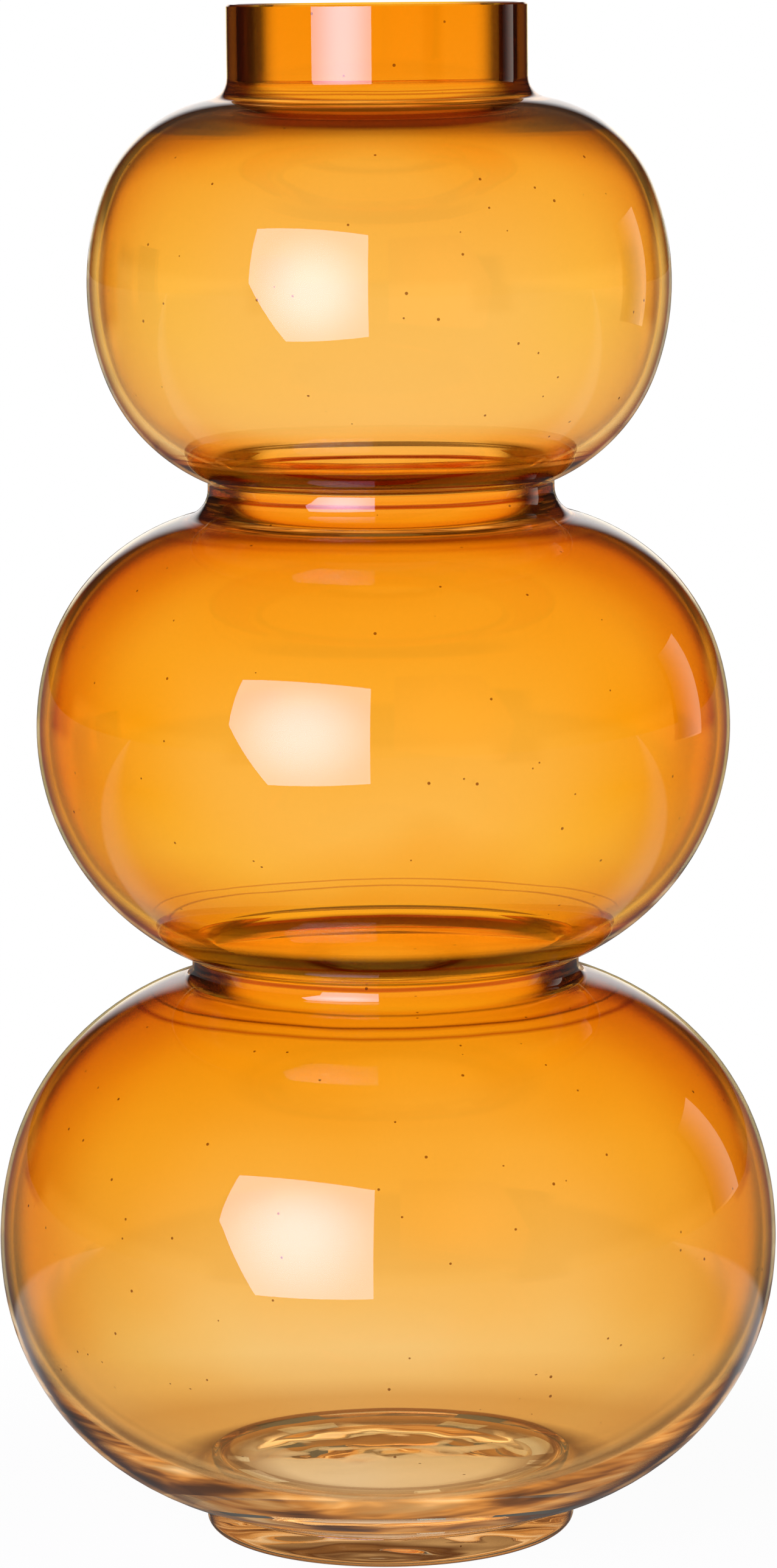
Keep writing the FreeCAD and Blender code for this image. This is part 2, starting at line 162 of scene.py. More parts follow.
# The orange line where the wall meets the floor: where it starts and ends, outwards and upwards,
# and its share at the front
FLOOR_LINE_IN, FLOOR_LINE_OUT = (43.0, 44.0), (46.0, 47.0)
FLOOR_LINE_LOW, FLOOR_LINE_HIGH = (13.0, 14.0), (20.0, 22.0)
FLOOR_LINE_COLOUR = (0.34, 0.16, 0.06, 1)
FLOOR_LINE_FRONT = 0.6

# Painted shade: the shoulder under the collar is painted grey brown at its sides
SHOULDER_LOW, SHOULDER_HIGH = (367.6, 368.4), (375.0, 376.0)
SHOULDER_SHADE_GREY = (0.50, 0.37, 0.29, 1)
SHOULDER_MIDDLE = 0.06

# Seeds, the dark specks in the glass: how many to a metre, and their size as a share of the gap
SEED_SCALE = 90.0
SEED_SIZE = 0.036
SEED_BROWN = (0.14, 0.06, 0.02, 1)

# A larger dark grain in the glass under the lower waist
GRAIN_PLACE = (-10.6, -57.5, 146.6)
GRAIN_SIZE = (1.3, 1.3, 0.8)

# The foot is brown, but not the hollow under it
FOOT_BROWN = (0.56, 0.42, 0.27, 1)
FOOT_TOP = (8.0, 10.0)
FOOT_IN = (40.0, 44.0)

# What counts as a side: how far sideways a place lies as a share of its radius. Places near the
# axis and on the floor don't count, and the wall starts outside the floor.
SIDE_SHARES = (0.45, 0.85)
AXIS_OUT = (30.0, 36.0)
WALL_IN = (44.0, 50.0)
OVER_FLOOR = (20.0, 24.0)

# The ranges below run with the view, from 0 where the glass faces it to 1 at its outline

# Where the colour starts to deepen towards the outline, where it is deepest, and by how much
LIMB_START, LIMB_END, LIMB_DEPTH = 0.25, 0.85, 0.95

# Towards its outline the glass is more golden, by height as a share of the vase's height
GOLD_START, GOLD_END = 0.04, 0.32
GOLD_STOPS = [
    (0.000, (1.00, 0.95, 0.80)),
    (0.090, (1.00, 1.00, 0.88)),
    (0.155, (0.92, 0.74, 0.34)),
    (0.220, (0.94, 0.82, 0.40)),
    (0.280, (1.00, 0.95, 0.42)),
    (0.360, (1.00, 1.00, 0.80)),
    (0.430, (1.00, 0.98, 0.60)),
    (0.465, (1.00, 0.94, 0.40)),
    (0.515, (0.97, 0.78, 0.04)),
    (0.560, (1.00, 0.92, 0.40)),
    (0.600, (1.00, 1.00, 1.00)),
    (0.720, (1.00, 1.00, 1.00)),
    (0.800, (1.00, 0.99, 0.72)),
    (0.900, (1.00, 0.95, 0.70)),
    (1.000, (1.00, 1.00, 1.00)),
]

# The sides of the two lower bulbs are amber
AMBER_START, AMBER_END = 0.30, 0.62
SIDE_AMBER = (0.90, 0.80, 0.35, 1)
AMBER_LOW, AMBER_HIGH, AMBER_SOFT = 65.0, 268.0, 15.0

# The last of the bulbs' sides is orange, and less so in the top bulb
ORANGE_START, ORANGE_END = 0.66, 0.80
SIDE_ORANGE = (0.66, 0.30, 0.05, 1)
TOP_BULB_START = (270.0, 290.0)
TOP_BULB_ORANGE = 0.5

# Painted shade: the sides of the thick base, the waists and the collar are painted nearly black, and the
# painted dark is broader in the waists and the collar
SIDE_SHADE_START, SIDE_SHADE_END = 0.64, 0.82
SIDE_SHADE = (0.025, 0.007, 0.002, 1)
BASE_TOP = (60.0, 105.0)
NARROW_PARTS = [(147.0, 155.5), (268.0, 281.0), (376.0, 402.0)]
NARROW_SOFT = 1.0
NARROW_BREADTH = 0.38

# Painted shade: the last of the wall inside the pale line is painted a dark brown
EDGE_START, EDGE_END = 0.72, 0.84
EDGE_SHADE_BROWN = (0.22, 0.10, 0.10, 1)

# The pale hair's breadth at the very outline
PALE_START, PALE_END = 0.85, 0.91
PALE_EDGE = (1.0, 0.95, 0.92, 1)

# Painted glow standing in for light that the thick base has thrown about for long: after how many
# bounces that is, and the shades and the flat shape of the streaks in which the glass glows
LATE_BOUNCES = 3.5
LAST_BOUNCE = 11.5
STREAK_STRETCH = (1.0, 1.0, 5.0)
STREAK_LOOK = {"Scale": 15.0, "Detail": 3.0, "Roughness": 0.55, "Distortion": 1.2}
STREAK_STOPS = [
    (0.38, (0.05, 0.02, 0.008)),
    (0.46, (0.16, 0.06, 0.015)),
    (0.52, (0.42, 0.18, 0.04)),
    (0.60, (0.62, 0.36, 0.14)),
    (0.70, (0.85, 0.66, 0.42)),
]

# How bright the studio is to rays that went through the glass: its four walls, the gaps between
# them and the sky above
LOBE_COSINES = (0.76, 0.84)
CLEAR_GLOW = 1.09
GAP_GLOW = 0.10
SKY_GLOW = 0.22
SKY_START, SKY_END = 0.01, 0.10

# How bright it is in the glass as a mirror: the room, the wall behind, the floor, and the floor
# just behind the vase
REFLECTED_DARK = 0.015
REFLECTED_BACK = 1.1
BACK_DIRECTION = (0.0, 0.996, 0.09)
BACK_COSINES = (0.955, 0.99)
REFLECTED_FLOOR = 0.12
REFLECTED_NEAR_FLOOR = 0.5
NEAR_FLOOR_START, NEAR_FLOOR_END = (0.02, 0.12), (0.15, 0.18)

# The floor: its size, its paint, where it goes over into the room, the faint shade round the foot,
# and the amber light that falls on it, by distance from the axis as a share of its reach
FLOOR_RADIUS = 9.0
FLOOR_CORNERS = 96
FLOOR_PAINT = (0.85, 0.85, 0.85, 1)
FLOOR_FAR = (1.6, 2.6)
SHADE_NEAR, SHADE_REACH = 0.97, (0.10, 0.26)
SHADOW_REACH = 0.2
SHADOW_STOPS = [
    (0.000, (0.98, 0.91, 0.88)),
    (0.150, (0.96, 0.87, 0.80)),
    (0.215, (0.30, 0.16, 0.07)),
    (0.245, (0.70, 0.40, 0.16)),
    (0.270, (0.20, 0.08, 0.02)),
    (0.330, (0.85, 0.62, 0.36)),
    (0.450, (0.80, 0.60, 0.36)),
    (0.600, (0.95, 0.85, 0.68)),
    (0.800, (1.00, 1.00, 1.00)),
]

# The lights' share in the reflections off the walls behind the front one
GHOST_SHARE = 0.12

# The softbox, and the corner that is cut off it, as shares of its sides
SOFTBOX = {"azimuth": -27, "distance": 0.9, "height": 0.38, "sides": (0.76, 0.74)}
SOFTBOX_COLOUR = (0.80, 0.64, 0.94, 1)
SOFTBOX_CENTRE = (0.03, -0.05, 0.0)
SOFTBOX_FALL = (0.03, 0.6)
SOFTBOX_GLOWS = (15.5, 7.5)
CUT_SHARE = 0.4
CUT_EDGE = -0.45
CUT_SHIFT = 0.1

# The side strip, brighter towards its right
STRIP = {"azimuth": 118, "distance": 1.3, "height": 0.36, "sides": (0.36, 0.55)}
STRIP_COLOUR = (1.0, 0.9, 0.8, 1)
STRIP_RISE = (-0.5, 0.45)
STRIP_GLOWS = (0.1, 1.2)


def arc(centre, radius, start, end, steps):
    """Points of an arc, its two ends included."""
    points = []
    for step in range(steps + 1):
        angle = start + (end - start) * step / steps
        points.append((centre[0] + radius * math.cos(angle), centre[1] + radius * math.sin(angle)))
    return points


def end_arc(centre, radius, angle, point):
    """Centre and radius of the arc that goes on smoothly from a belly arc's end to a point."""
    normal = (math.cos(angle), math.sin(angle))
    start = (centre[0] + radius * normal[0], centre[1] + radius * normal[1])
    run, rise = start[0] - point[0], start[1] - point[1]
    bend = (run * run + rise * rise) / (2 * (run * normal[0] + rise * normal[1]))
    return (start[0] - bend * normal[0], start[1] - bend * normal[1]), bend


def wall_fillet(centre, radius, wall_radius, fillet, side):
    """Centre of the fillet between an arc and a straight wall, and its angle on the arc."""
    run = wall_radius + fillet - centre[0]
    rise = side * math.sqrt((radius + fillet) ** 2 - run * run)
    return (wall_radius + fillet, centre[1] + rise), math.atan2(rise, run)


def bulb_outline(bulb, wall, low, high, low_fillet, high_fillet):
    """The outline of one bulb, from the waist below it to the waist above it.

    low and high are the corners where its end arcs meet the straight walls. A low fillet of None
    ends in the corner itself.
    """
    belly = bulb["belly"] - wall
    share = belly / bulb["belly"]
    centre = (bulb["radius"] - bulb["belly"], bulb["height"])
    low_angle = -math.asin(bulb["drop"] * share / belly)
    high_angle = math.asin(bulb["rise"] * share / belly)
    under_centre, under_radius = end_arc(centre, belly, low_angle, low)
    over_centre, over_radius = end_arc(centre, belly, high_angle, high)
    points = []
    if low_fillet is None:
        under_angle = math.atan2(low[1] - under_centre[1], low[0] - under_centre[0])
    else:
        hub, under_angle = wall_fillet(under_centre, under_radius, low[0], low_fillet, -1)
        points += arc(hub, low_fillet, math.pi, under_angle + math.pi, SHORT_ARC_STEPS)[:-1]
    points += arc(under_centre, under_radius, under_angle, low_angle, LONG_ARC_STEPS)[:-1]
    points += arc(centre, belly, low_angle, high_angle, LONG_ARC_STEPS)[:-1]
    hub, over_angle = wall_fillet(over_centre, over_radius, high[0], high_fillet, 1)
    points += arc(over_centre, over_radius, high_angle, over_angle, LONG_ARC_STEPS)[:-1]
    points += arc(hub, high_fillet, over_angle + math.pi, math.pi, SHORT_ARC_STEPS)
    return points


def outside_outline():
    """The outside of the blown body, from its seat on the foot to the rim's bevel."""
    lower_low = (SEAT_RADIUS, FOOT["height"])
    lower_high = (LOWER_WAIST["radius"], LOWER_WAIST["foot"])
    middle_low = (LOWER_WAIST["radius"], LOWER_WAIST["top"])
    middle_high = (UPPER_WAIST["radius"], UPPER_WAIST["foot"])
    top_low = (UPPER_WAIST["radius"], UPPER_WAIST["top"])
    top_high = (COLLAR["radius"], COLLAR["foot"])
    points = bulb_outline(LOWER_BULB, 0, lower_low, lower_high, None, LOWER_WAIST["fillet"])
    points += bulb_outline(MIDDLE_BULB, 0, middle_low, middle_high, CREASE_FILLET, UPPER_WAIST["fillet"])
    points += bulb_outline(TOP_BULB, 0, top_low, top_high, CREASE_FILLET, COLLAR["fillet"])
    points.append((COLLAR["radius"], HEIGHT - COLLAR["bevel"]))
    points.append((COLLAR["radius"] - COLLAR["bevel"], HEIGHT))
    return points


def inside_outline():
    """The inside of the glass, from the flat floor on the axis to the rim's bevel."""
    lift = WALL * CREASE_LIFT_SHARE
    sink = WALL * SHOULDER_DROP_SHARE
    belly = LOWER_BULB["belly"] - WALL
    angle = -math.asin(LOWER_BULB["drop"] / LOWER_BULB["belly"])
    start_radius = LOWER_BULB["radius"] - LOWER_BULB["belly"] + belly * math.cos(angle)
    start_height = LOWER_BULB["height"] + belly * math.sin(angle)
    bend = (start_height - FLOOR_HEIGHT) / (1 + math.sin(angle))
    lower_low = (start_radius - bend * math.cos(angle), FLOOR_HEIGHT)
    lower_waist = LOWER_WAIST["radius"] - WAIST_WALL
    upper_waist = UPPER_WAIST["radius"] - WAIST_WALL
    collar = COLLAR["radius"] - WALL
    lower_high = (lower_waist, LOWER_WAIST["foot"] - sink)
    middle_low = (lower_waist, LOWER_WAIST["top"] + lift)
    middle_high = (upper_waist, UPPER_WAIST["foot"] - sink)
    top_low = (upper_waist, UPPER_WAIST["top"] + lift)
    top_high = (collar, COLLAR["foot"] - sink)
    low_fillet, high_fillet = LOWER_INNER_FILLET, UPPER_INNER_FILLET
    points = [(lower_low[0] * step / FLOOR_STEPS, FLOOR_HEIGHT) for step in range(FLOOR_STEPS)]
    points += bulb_outline(LOWER_BULB, WALL, lower_low, lower_high, None, low_fillet)
    points += bulb_outline(MIDDLE_BULB, WALL, middle_low, middle_high, low_fillet, high_fillet)
    points += bulb_outline(TOP_BULB, WALL, top_low, top_high, high_fillet, COLLAR["inner_fillet"])
    points.append((collar, HEIGHT - COLLAR["bevel"]))
    points.append((collar + COLLAR["bevel"], HEIGHT))
    return points


def foot_outline():
    """The foot, from the hollow's top on the axis, round its edge, to the seat of the body."""
    radius, depth = HOLLOW["radius"], HOLLOW["depth"]
    cap = (radius * radius + depth * depth) / (2 * depth)
    hub = (0.0, depth - cap)
    half_pi = math.pi / 2
    points = arc(hub, cap, half_pi, math.atan2(-hub[1], radius), FLOOR_STEPS)
    edge = FOOT["edge_fillet"]
    low = FOOT["radius"] - FOOT["draft"] - edge
    points += arc((low, edge), edge, -half_pi, 0, SHORT_ARC_STEPS)
    lip = FOOT["top_fillet"]
    points += arc((FOOT["radius"] - lip, FOOT["height"] - lip), lip, 0, half_pi, SHORT_ARC_STEPS)[:-1]
    return points


def add_plane(name, size):
    """A new flat square piece, with nothing else selected."""
    bpy.ops.object.select_all(action="DESELECT")
    bpy.ops.mesh.primitive_plane_add(size=size)
    piece = bpy.context.object
    piece.name = name
    return piece


def turn(name, points):
    """Draws a half outline by extruding one vertex along it, and spins it round the axis."""
    piece = add_plane(name, MM)
    bpy.ops.object.mode_set(mode="EDIT")
    bpy.ops.mesh.merge(type="CENTER")
    corners = [Vector((radius, 0, height)) * MM for radius, height in points]
    bpy.ops.transform.translate(value=corners[0])
    for here, there in zip(corners, corners[1:]):
        bpy.ops.mesh.extrude_region_move(TRANSFORM_OT_translate={"value": there - here})
    bpy.ops.mesh.select_all(action="SELECT")
    bpy.ops.mesh.spin(steps=TURN_STEPS, angle=math.tau, center=(0, 0, 0), axis=AXIS)
    bpy.ops.mesh.select_all(action="SELECT")
    bpy.ops.mesh.remove_doubles(threshold=MERGE_DISTANCE)
    bpy.ops.mesh.normals_make_consistent(inside=False)
    bpy.ops.object.mode_set(mode="OBJECT")
    bpy.ops.object.shade_smooth_by_angle(angle=math.radians(SMOOTH_ANGLE))
    return piece


def roughen_base(vase):
    """Gives the floor and the hollow the soft ripples of glass that was pressed by hand."""
    ripple = vase.vertex_groups.new(name="base")
    for vertex in vase.data.vertices:
        radius, height = math.hypot(vertex.co.x, vertex.co.y) / MM, vertex.co.z / MM
        if abs(height - FLOOR_HEIGHT) < FLOOR_REACH and radius < SEAT_RADIUS:
            share = 1.0 - (radius / SEAT_RADIUS) ** FLOOR_FADE_POWER
            ripple.add([vertex.index], share, "REPLACE")
        elif height < FOOT["height"] and radius < HOLLOW["radius"]:
            share = HOLLOW_RIPPLE_SHARE * (1.0 - (radius / HOLLOW["radius"]) ** HOLLOW_FADE_POWER)
            ripple.add([vertex.index], share, "REPLACE")
    clouds = bpy.data.textures.new("ripples", "CLOUDS")
    clouds.noise_scale = RIPPLE_SIZE * MM
    clouds.noise_depth = RIPPLE_LAYERS
    bpy.context.view_layer.objects.active = vase
    bpy.ops.object.modifier_add(type="DISPLACE")
    waves = vase.modifiers[-1]
    waves.texture = clouds
    waves.direction = "Z"
    waves.strength = RIPPLE_DEPTH * MM
    waves.mid_level = 0.5
    waves.vertex_group = "base"
    bpy.ops.object.modifier_apply(modifier=waves.name)


def node(tree, kind, **inputs):
    """A shader node with its inputs set by name, underscores standing for spaces."""
    made = tree.nodes.new(kind)
    for key, value in inputs.items():
        made.inputs[key.replace("_", " ")].default_value = value
    return made


def link_value(tree, socket, value):
    """Feeds a socket from another socket, or sets it to a plain value."""
    if isinstance(value, bpy.types.NodeSocket):
        tree.links.new(value, socket)
    else:
        socket.default_value = value


def calculate(tree, operation, *values):
    """One step of arithmetic on sockets or plain numbers."""
    made = tree.nodes.new("ShaderNodeMath")
    made.operation = operation
    for socket, value in zip(made.inputs, values):
        link_value(tree, socket, value)
    return made.outputs[0]


def product(tree, first, *others):
    """The product of several values."""
    for other in others:
        first = calculate(tree, "MULTIPLY", first, other)
    return first


def rescale(tree, value, low, high, to_low, to_high):
    """Moves a value smoothly from one range to another, and holds it at the ends."""
    made = tree.nodes.new("ShaderNodeMapRange")
    made.interpolation_type = "SMOOTHSTEP"
    for key, part in (("Value", value), ("From Min", low), ("From Max", high)):
        link_value(tree, made.inputs[key], part)
    for key, part in (("To Min", to_low), ("To Max", to_high)):
        link_value(tree, made.inputs[key], part)
    return made.outputs["Result"]


def fade_in(tree, value, low, high):
    """0 below a range of values and 1 above it."""
    return rescale(tree, value, low, high, 0.0, 1.0)


def fade_out(tree, value, low, high):
    """1 below a range of values and 0 above it."""
    return rescale(tree, value, low, high, 1.0, 0.0)


def between(tree, value, low, high, soft):
    """1 between two values and 0 outside them, with soft ends."""
    return product(tree, fade_in(tree, value, low - soft, low + soft),
                   fade_out(tree, value, high - soft, high + soft))


def pick(tree, share, first, second):
    """A blend of two numbers: the first at 0 and the second at 1."""
    made = tree.nodes.new("ShaderNodeMix")
    link_value(tree, made.inputs["Factor"], share)
    link_value(tree, made.inputs["A"], first)
    link_value(tree, made.inputs["B"], second)
    return made.outputs["Result"]


def parts_of(tree, place):
    """The three parts of a place or a direction."""
    split = tree.nodes.new("ShaderNodeSeparateXYZ")
    tree.links.new(place, split.inputs[0])
    return split.outputs["X"], split.outputs["Y"], split.outputs["Z"]


def distance_out(tree, east, north):
    """Distance from the axis."""
    squares = calculate(tree, "MULTIPLY_ADD", east, east, product(tree, north, north))
    return calculate(tree, "SQRT", squares)


def distance_in_sizes(tree, place, centre, sizes):
    """Distance from a centre, counted in a size of its own along each axis."""
    shift = node(tree, "ShaderNodeMapping", Scale=[1 / size for size in sizes],
                 Location=[-at / size for at, size in zip(centre, sizes)])
    tree.links.new(place, shift.inputs["Vector"])
    length = tree.nodes.new("ShaderNodeVectorMath")
    length.operation = "LENGTH"
    tree.links.new(shift.outputs[0], length.inputs[0])
    return length.outputs["Value"]


def noise(tree, place, **look):
    """Soft noise between 0 and 1."""
    made = node(tree, "ShaderNodeTexNoise", **look)
    tree.links.new(place, made.inputs["Vector"])
    return made.outputs["Fac"]


def plain_colour(tree, colour):
    """A colour as a socket."""
    made = tree.nodes.new("ShaderNodeRGB")
    made.outputs[0].default_value = colour
    return made.outputs[0]


def blend_colours(tree, first, second, share, way="MIX"):
    """A blend of two colours: the first at 0 and the second at 1."""
    made = tree.nodes.new("ShaderNodeMix")
    made.data_type = "RGBA"
    made.blend_type = way
    link_value(tree, made.inputs[0], share)
    tree.links.new(first, made.inputs[6])
    tree.links.new(second, made.inputs[7])
    return made.outputs[2]


def multiply_colours(tree, first, second, share):
    """A colour tinted by another: not at all at 0 and in full at 1."""
    return blend_colours(tree, first, second, share, "MULTIPLY")


def colour_ramp(tree, value, stops):
    """The colour that belongs to a value, blended from the stops on either side of it."""
    ramp = tree.nodes.new("ShaderNodeValToRGB")
    elements = ramp.color_ramp.elements
    while len(elements) < len(stops):
        elements.new(0.5)
    for element, (position, colour) in zip(elements, stops):
        element.position = position
        element.color = (*colour, 1.0)
    tree.links.new(value, ramp.inputs["Fac"])
    return ramp.outputs["Color"]


def share_between(tree, value, low, high):
    """How far a value has come from one number to another, from 0 to 1."""
    made = node(tree, "ShaderNodeMapRange", From_Min=low, From_Max=high)
    tree.links.new(value, made.inputs["Value"])
    return made.outputs["Result"]


def painted_band_shade(tree, height, low, high, shades):
    """A multiplier that darkens the colour between two heights: a band of painted shade."""
    stops = []
    for level, shade in shades:
        colour = (shade, shade ** BAND_GREEN_POWER, shade ** BAND_BLUE_POWER)
        stops.append(((level - low) / (high - low), colour))
    return colour_ramp(tree, share_between(tree, height, low, high), stops)


def glass_tint():
    """Colour of the glass by place with painted shade in bands and on the collar's shoulder, and the
    colours, painted shade and shares that it needs towards its outline.
    """
    group = bpy.data.node_groups.new("glass_tint", "ShaderNodeTree")
    sockets = [(word, "NodeSocketColor") for word in ("Colour", "Gold", "Amber", "Limb", "Side_shade")]
    sockets += [(word, "NodeSocketFloat") for word in ("Side", "Breadth")]
    for word, kind in sockets:
        group.interface.new_socket(word, in_out="OUTPUT", socket_type=kind)
    links = group.links
    place = group.nodes.new("ShaderNodeTexCoord").outputs["Object"]
    in_mm = node(group, "ShaderNodeMapping", Scale=(1 / MM, 1 / MM, 1 / MM))
    links.new(place, in_mm.inputs["Vector"])
    x, y, z = parts_of(group, in_mm.outputs[0])
    radius = distance_out(group, x, y)
    height_share = share_between(group, z, 0.0, HEIGHT)
    sideways = calculate(group, "DIVIDE", calculate(group, "ABSOLUTE", x), radius)
    side = fade_in(group, sideways, *SIDE_SHARES)
    front = fade_out(group, y, FRONT_END, BACK_START)
    back = calculate(group, "SUBTRACT", 1.0, front)

    # Amber above, fading to pale brown at the foot
    clouds = noise(group, place, Scale=CLOUD_SCALE, Detail=SOFT_DETAIL, Roughness=SOFT_ROUGHNESS)
    drift = calculate(group, "MULTIPLY_ADD", clouds, CLOUD_DRIFT, -CLOUD_DRIFT / 2)
    colour = colour_ramp(group, calculate(group, "ADD", height_share, drift), TINT_STOPS)

    # Painted shade: darker bands at the waists and round the collar's foot, each a little wavy
    wobble = noise(group, place, Scale=BAND_WOBBLE_SCALE, Detail=SOFT_DETAIL, Roughness=SOFT_ROUGHNESS)
    wobble = calculate(group, "MULTIPLY_ADD", wobble, 2 * BAND_WOBBLE, -BAND_WOBBLE)
    height = calculate(group, "ADD", z, wobble)
    for share, bands in ((front, FRONT_SHADE_BANDS), (back, BACK_SHADE_BANDS)):
        for low, high, sag, shades in bands:
            level = calculate(group, "MULTIPLY_ADD", y, -sag, height)
            colour = multiply_colours(group, colour, painted_band_shade(group, level, low, high, shades), share)

    # The line round the floor
    ring = product(group, fade_in(group, radius, *FLOOR_LINE_IN), fade_out(group, radius, *FLOOR_LINE_OUT),
                   fade_in(group, z, *FLOOR_LINE_LOW), fade_out(group, z, *FLOOR_LINE_HIGH),
                   pick(group, back, FLOOR_LINE_FRONT, 1.0))
    colour = multiply_colours(group, colour, plain_colour(group, FLOOR_LINE_COLOUR), ring)

    # Painted grey shade on the sides of the shoulder under the collar
    greyed = product(group, fade_in(group, height, *SHOULDER_LOW), fade_out(group, height, *SHOULDER_HIGH),
                     pick(group, side, SHOULDER_MIDDLE, 1.0))
    colour = blend_colours(group, colour, plain_colour(group, SHOULDER_SHADE_GREY), greyed)

    # Seeds and the larger grain
    seeds = node(group, "ShaderNodeTexVoronoi", Scale=SEED_SCALE)
    links.new(place, seeds.inputs["Vector"])
    specks = calculate(group, "LESS_THAN", seeds.outputs["Distance"], SEED_SIZE)
    away = distance_in_sizes(group, in_mm.outputs[0], GRAIN_PLACE, GRAIN_SIZE)
    specks = calculate(group, "MAXIMUM", specks, calculate(group, "LESS_THAN", away, 1.0))
    colour = multiply_colours(group, colour, plain_colour(group, SEED_BROWN), specks)

    # The brown foot
    foot = product(group, fade_out(group, height, *FOOT_TOP), fade_in(group, radius, *FOOT_IN))
    colour = multiply_colours(group, colour, plain_colour(group, FOOT_BROWN), foot)

    # Which parts of the sides get painted shade and which are bright
    narrow = 0.0
    for low, high in NARROW_PARTS:
        narrow = calculate(group, "MAXIMUM", narrow, between(group, height, low, high, NARROW_SOFT))
    dark = calculate(group, "MAXIMUM", narrow, fade_out(group, height, *BASE_TOP))
    on_wall = fade_in(group, radius, *WALL_IN)
    not_floor = calculate(group, "MAXIMUM", on_wall, fade_in(group, height, *OVER_FLOOR))
    on_side = product(group, side, fade_in(group, radius, *AXIS_OUT), not_floor)
    amber_side = product(group, on_side, between(group, height, AMBER_LOW, AMBER_HIGH, AMBER_SOFT))
    bright_side = product(group, on_side, calculate(group, "SUBTRACT", 1.0, dark),
                          rescale(group, height, *TOP_BULB_START, 1.0, TOP_BULB_ORANGE))
    dark_side = product(group, on_side, dark)

    out = group.nodes.new("NodeGroupOutput")
    links.new(colour, out.inputs["Colour"])
    for word, tint, share in (("Gold", colour_ramp(group, height_share, GOLD_STOPS), on_wall),
                              ("Amber", plain_colour(group, SIDE_AMBER), amber_side),
                              ("Limb", plain_colour(group, SIDE_ORANGE), bright_side),
                              ("Side_shade", plain_colour(group, SIDE_SHADE), dark_side)):
        links.new(blend_colours(group, plain_colour(group, WHITE), tint, share), out.inputs[word])
    links.new(side, out.inputs["Side"])
    links.new(product(group, narrow, NARROW_BREADTH), out.inputs["Breadth"])
    return group


def painted_streak_glow(tree):
    """Painted glow in streaks, standing in for light that was thrown about in the thick base for long."""
    path = tree.nodes.new("ShaderNodeLightPath")
    late = calculate(tree, "GREATER_THAN", path.outputs["Glossy Depth"], LATE_BOUNCES)
    last = calculate(tree, "GREATER_THAN", path.outputs["Ray Depth"], LAST_BOUNCE)
    lost = calculate(tree, "MAXIMUM", late, last)
    place = tree.nodes.new("ShaderNodeTexCoord").outputs["Object"]
    stretch = node(tree, "ShaderNodeMapping", Scale=STREAK_STRETCH)
    tree.links.new(place, stretch.inputs["Vector"])
    streaks = noise(tree, stretch.outputs[0], **STREAK_LOOK)
    shades = colour_ramp(tree, streaks, STREAK_STOPS)
    return blend_colours(tree, plain_colour(tree, BLACK), shades, lost)


def glass_material():
    """Clear glass that is seen through more of its wall towards its outline, so its colour deepens there,
    with painted shade on its sides near the outline, and only the last hair's breadth of the wall stays
    pale."""
    material = bpy.data.materials.new("amber_glass_look")
    material.use_nodes = True
    tree = material.node_tree
    shader = tree.nodes["Principled BSDF"]
    shader.inputs["Roughness"].default_value = 0.0
    shader.inputs["IOR"].default_value = GLASS_IOR
    shader.inputs["Transmission Weight"].default_value = 1.0
    # Painted glow: the glass gives off streaky light of its own for rays thrown about for long
    shader.inputs["Emission Strength"].default_value = 1.0
    tree.links.new(painted_streak_glow(tree), shader.inputs["Emission Color"])
    tint = tree.nodes.new("ShaderNodeGroup")
    tint.node_tree = glass_tint()
    tints = tint.outputs
    facing = node(tree, "ShaderNodeLayerWeight", Blend=0.5).outputs["Facing"]
    depth = rescale(tree, facing, LIMB_START, LIMB_END, 0.0, LIMB_DEPTH)
    colour = multiply_colours(tree, tints["Colour"], tints["Colour"], depth)
    for word, start, end in (("Gold", GOLD_START, GOLD_END), ("Amber", AMBER_START, AMBER_END),
                             ("Limb", ORANGE_START, ORANGE_END)):
        colour = multiply_colours(tree, colour, tints[word], fade_in(tree, facing, start, end))
    # Painted shade: near black on the sides of the base, the waists and the collar towards the outline
    broader = calculate(tree, "ADD", facing, tints["Breadth"])
    side_shade = fade_in(tree, broader, SIDE_SHADE_START, SIDE_SHADE_END)
    colour = multiply_colours(tree, colour, tints["Side_shade"], side_shade)
    # Painted shade: a dark brown band just inside the pale line
    edge = product(tree, fade_in(tree, facing, EDGE_START, EDGE_END), tints["Side"])
    colour = multiply_colours(tree, colour, plain_colour(tree, EDGE_SHADE_BROWN), edge)
    pale = product(tree, fade_in(tree, facing, PALE_START, PALE_END), tints["Side"])
    colour = blend_colours(tree, colour, plain_colour(tree, PALE_EDGE), pale)
    tree.links.new(colour, shader.inputs["Base Color"])
    return material


def make_vase():
    """The whole glass as one shell, from the hollow round the outside to the inner floor."""
    points = foot_outline() + outside_outline() + inside_outline()[::-1]
    vase = turn("glass_vase", points)
    roughen_base(vase)
    vase.data.materials.append(glass_material())
    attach(vase, "root")
    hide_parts("blown_body", "foot")
    return vase


def bare_material(name):
    """A material with an empty node tree."""
    material = bpy.data.materials.new(name)
    material.use_nodes = True
    material.node_tree.nodes.clear()
    return material


def put_out(tree, shader, kind="ShaderNodeOutputMaterial"):
    """Ends a node tree with its shader."""
    out = tree.nodes.new(kind)
    tree.links.new(shader.outputs[0], out.inputs["Surface"])


def lobes(tree, east, north):
    """1 towards the four walls of the studio and 0 towards its corners, and the distance."""
    sizes = [calculate(tree, "ABSOLUTE", part) for part in (east, north)]
    longest = calculate(tree, "MAXIMUM", *sizes)
    reach = distance_out(tree, east, north)
    cosine = calculate(tree, "DIVIDE", longest, calculate(tree, "MAXIMUM", reach, TINY))
    return fade_in(tree, cosine, *LOBE_COSINES), reach


def ray_kinds(tree):
    """1 for rays from the camera, rays that went through glass, and rays mirrored by it."""
    path = tree.nodes.new("ShaderNodeLightPath")
    through = path.outputs["Is Transmission Ray"]
    mirrored = product(tree, path.outputs["Is Glossy Ray"], calculate(tree, "SUBTRACT", 1.0, through))
    return path.outputs["Is Camera Ray"], through, mirrored


